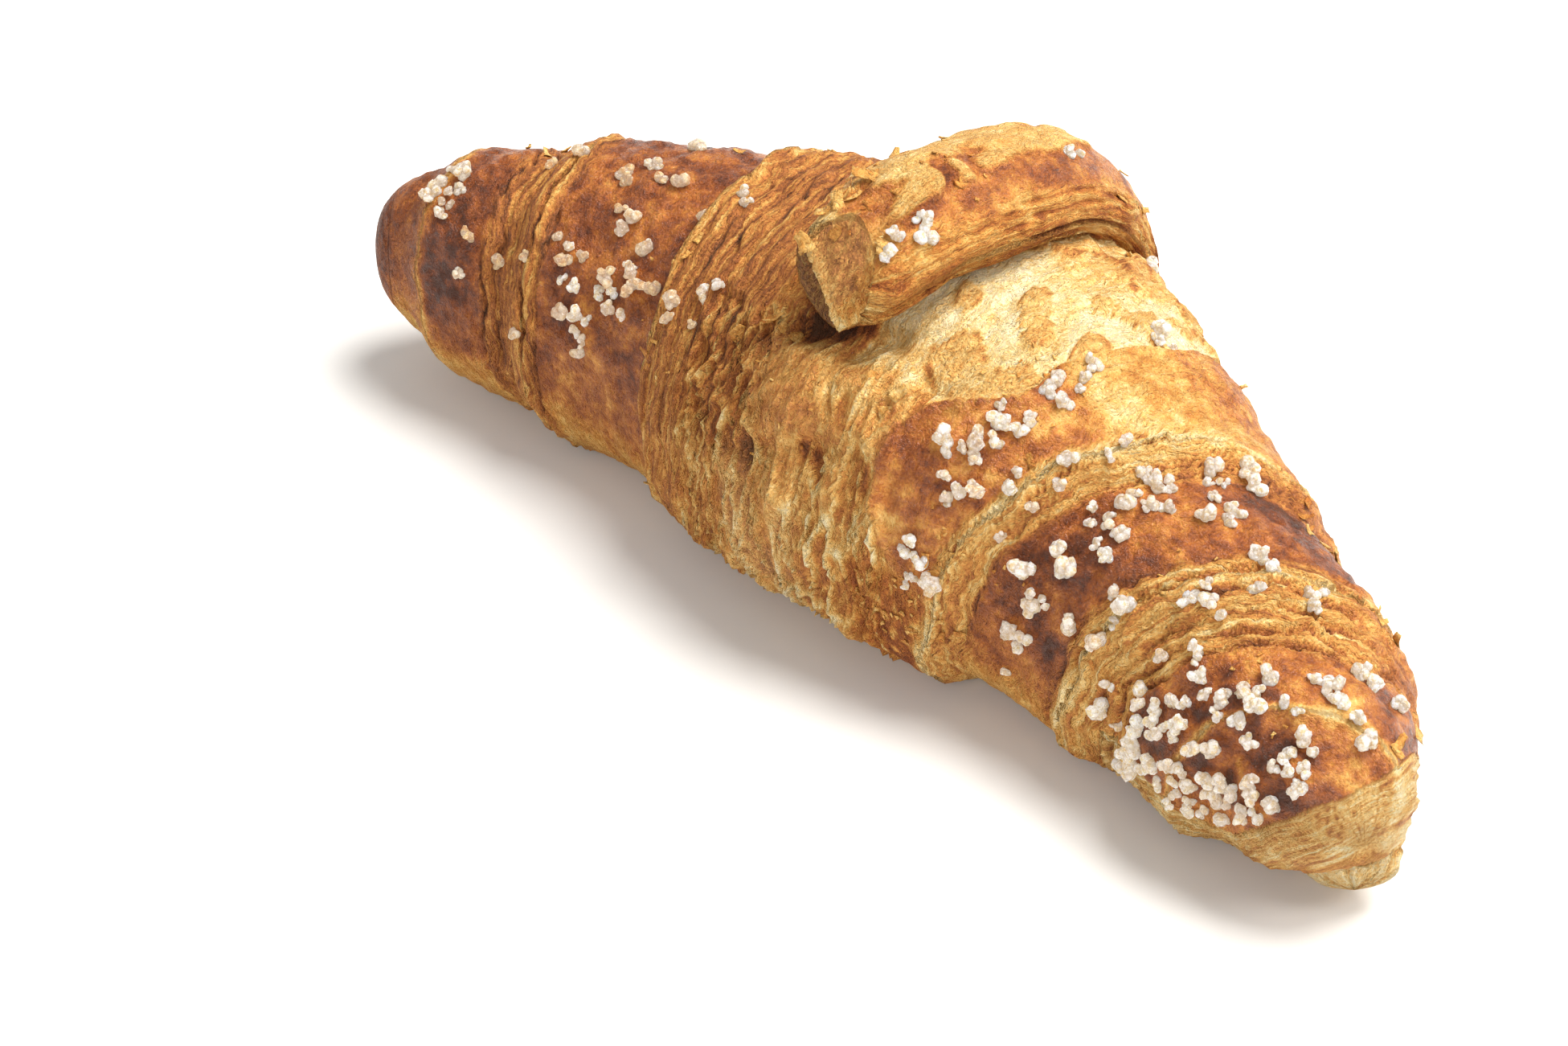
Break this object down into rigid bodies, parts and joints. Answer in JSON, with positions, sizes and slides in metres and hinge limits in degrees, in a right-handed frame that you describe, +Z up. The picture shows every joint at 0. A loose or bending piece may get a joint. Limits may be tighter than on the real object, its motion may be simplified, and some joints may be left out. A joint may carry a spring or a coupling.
{
  "type": "croissant with pearl sugar",
  "caption": "Whole baked croissant: a rolled, flaky crescent of laminated dough with a raised tongue over its middle and grains of pearl sugar on its crust.",
  "frame": {"origin": "on the surface that the croissant rests on, under the middle of its box", "axes": "+X along the croissant to the horn with the thin tail, +Y to its convex back, +Z up"},
  "size_m": [0.1676, 0.0714, 0.0609],
  "materials": {
    "baked_crust": "satin",
    "sugar": "satin"
  },
  "bodies": {
    "root": {"croissant": "baked_crust", "pearl_sugar_01": "sugar", "pearl_sugar_02": "sugar", "pearl_sugar_03": "sugar", "pearl_sugar_04": "sugar", "pearl_sugar_05": "sugar", "pearl_sugar_06": "sugar", "pearl_sugar_07": "sugar", "pearl_sugar_08": "sugar", "pearl_sugar_09": "sugar", "pearl_sugar_10": "sugar", "pearl_sugar_11": "sugar", "pearl_sugar_12": "sugar", "pearl_sugar_13": "sugar", "pearl_sugar_14": "sugar", "pearl_sugar_15": "sugar", "pearl_sugar_16": "sugar", "pearl_sugar_17": "sugar", "pearl_sugar_18": "sugar", "pearl_sugar_19": "sugar", "pearl_sugar_20": "sugar", "pearl_sugar_21": "sugar", "pearl_sugar_22": "sugar", "pearl_sugar_23": "sugar", "pearl_sugar_24": "sugar", "pearl_sugar_25": "sugar", "pearl_sugar_26": "sugar", "pearl_sugar_27": "sugar", "pearl_sugar_28": "sugar", "pearl_sugar_29": "sugar", "pearl_sugar_30": "sugar", "pearl_sugar_31": "sugar", "pearl_sugar_32": "sugar", "pearl_sugar_33": "sugar", "pearl_sugar_34": "sugar", "pearl_sugar_35": "sugar", "pearl_sugar_36": "sugar", "pearl_sugar_37": "sugar", "pearl_sugar_38": "sugar", "pearl_sugar_39": "sugar", "pearl_sugar_40": "sugar", "pearl_sugar_41": "sugar", "pearl_sugar_42": "sugar", "pearl_sugar_43": "sugar", "pearl_sugar_44": "sugar", "pearl_sugar_45": "sugar", "pearl_sugar_46": "sugar", "pearl_sugar_47": "sugar", "pearl_sugar_48": "sugar", "pearl_sugar_49": "sugar", "pearl_sugar_50": "sugar", "pearl_sugar_51": "sugar", "pearl_sugar_52": "sugar", "pearl_sugar_53": "sugar", "pearl_sugar_54": "sugar", "pearl_sugar_55": "sugar", "pearl_sugar_56": "sugar", "pearl_sugar_57": "sugar", "pearl_sugar_58": "sugar"}
  },
  "joints": []
}
